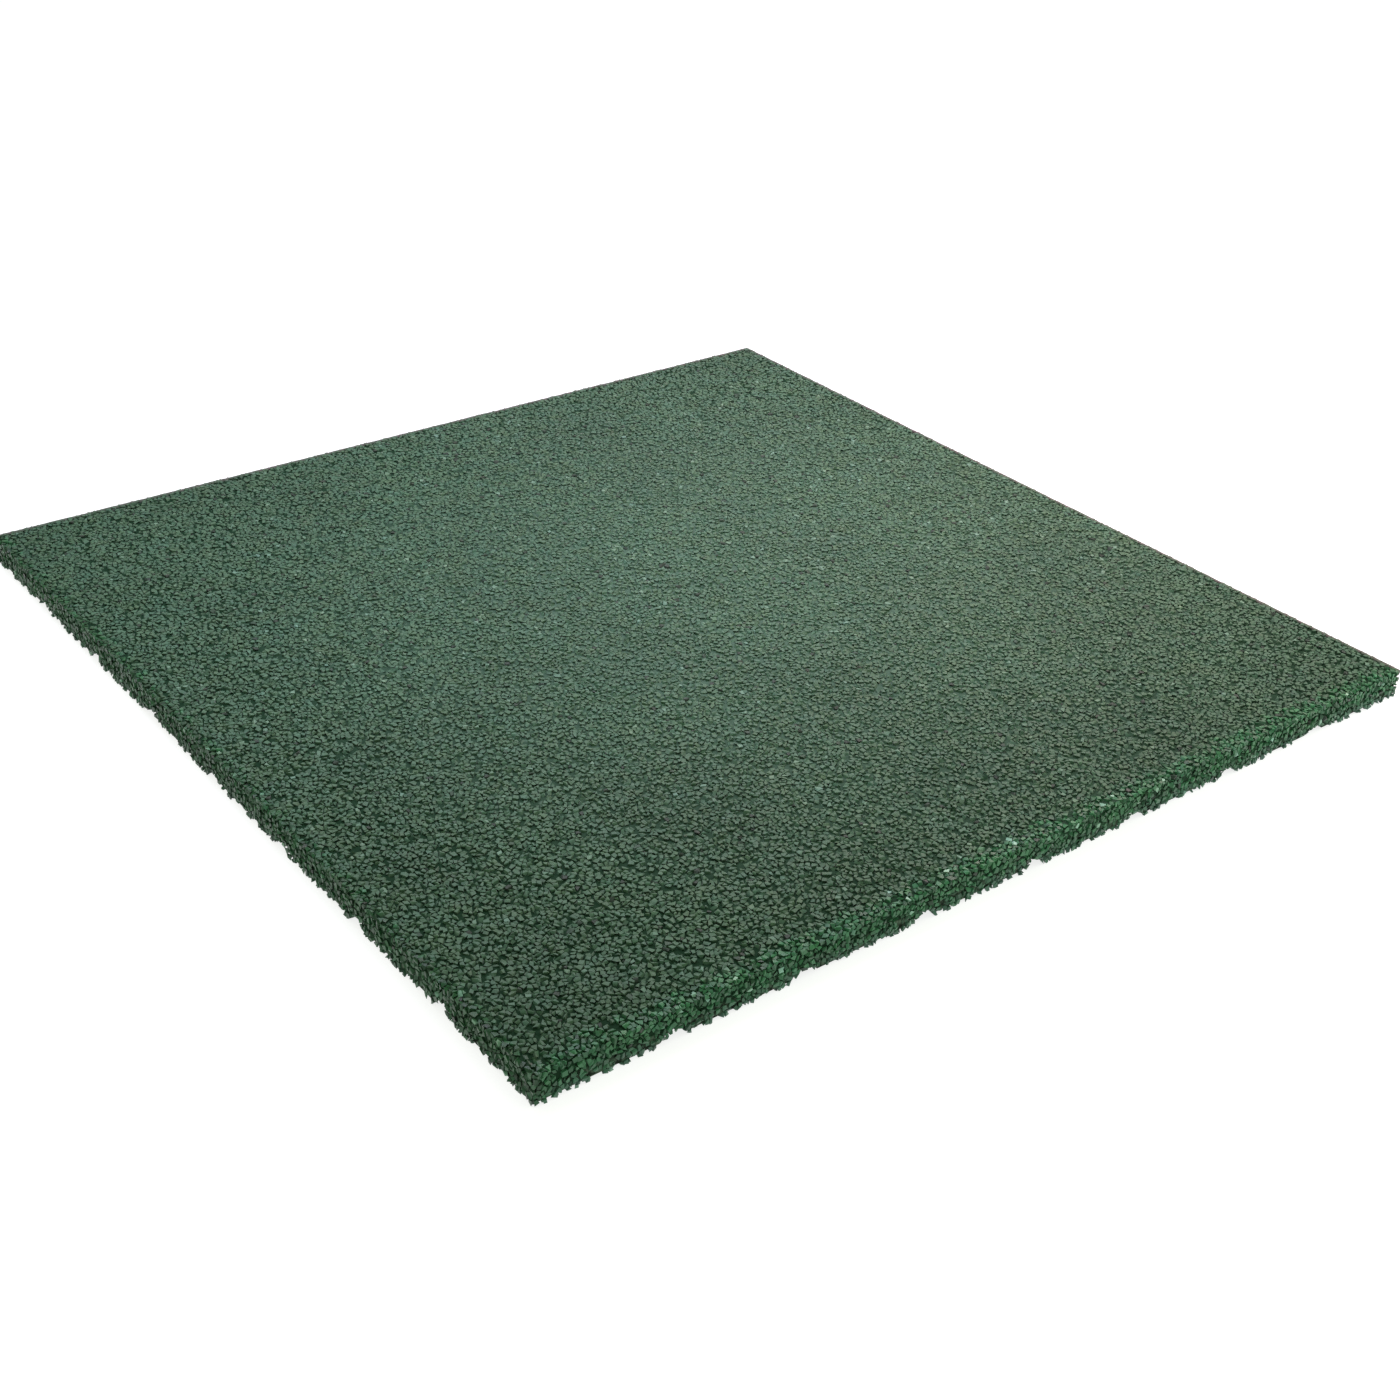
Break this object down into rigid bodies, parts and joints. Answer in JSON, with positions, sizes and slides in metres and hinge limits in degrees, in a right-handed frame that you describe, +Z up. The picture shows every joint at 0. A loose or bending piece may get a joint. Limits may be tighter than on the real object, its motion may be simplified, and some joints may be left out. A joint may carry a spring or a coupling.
{
  "type": "rubber floor tile",
  "caption": "Square one-piece floor tile of bonded rubber granules, flat on top, with crossing drainage channels moulded into its underside.",
  "frame": {"origin": "middle of the underside, on the floor", "axes": "+Z up through the tile's thickness, X and Y along its sides; with the tile as stored, the picture looks down on the corner at -X and -Y"},
  "size_m": [1, 1, 0.03],
  "materials": {
    "green_rubber": "matt, rough with granules"
  },
  "bodies": {
    "root": {"tile": "green_rubber"}
  },
  "joints": []
}
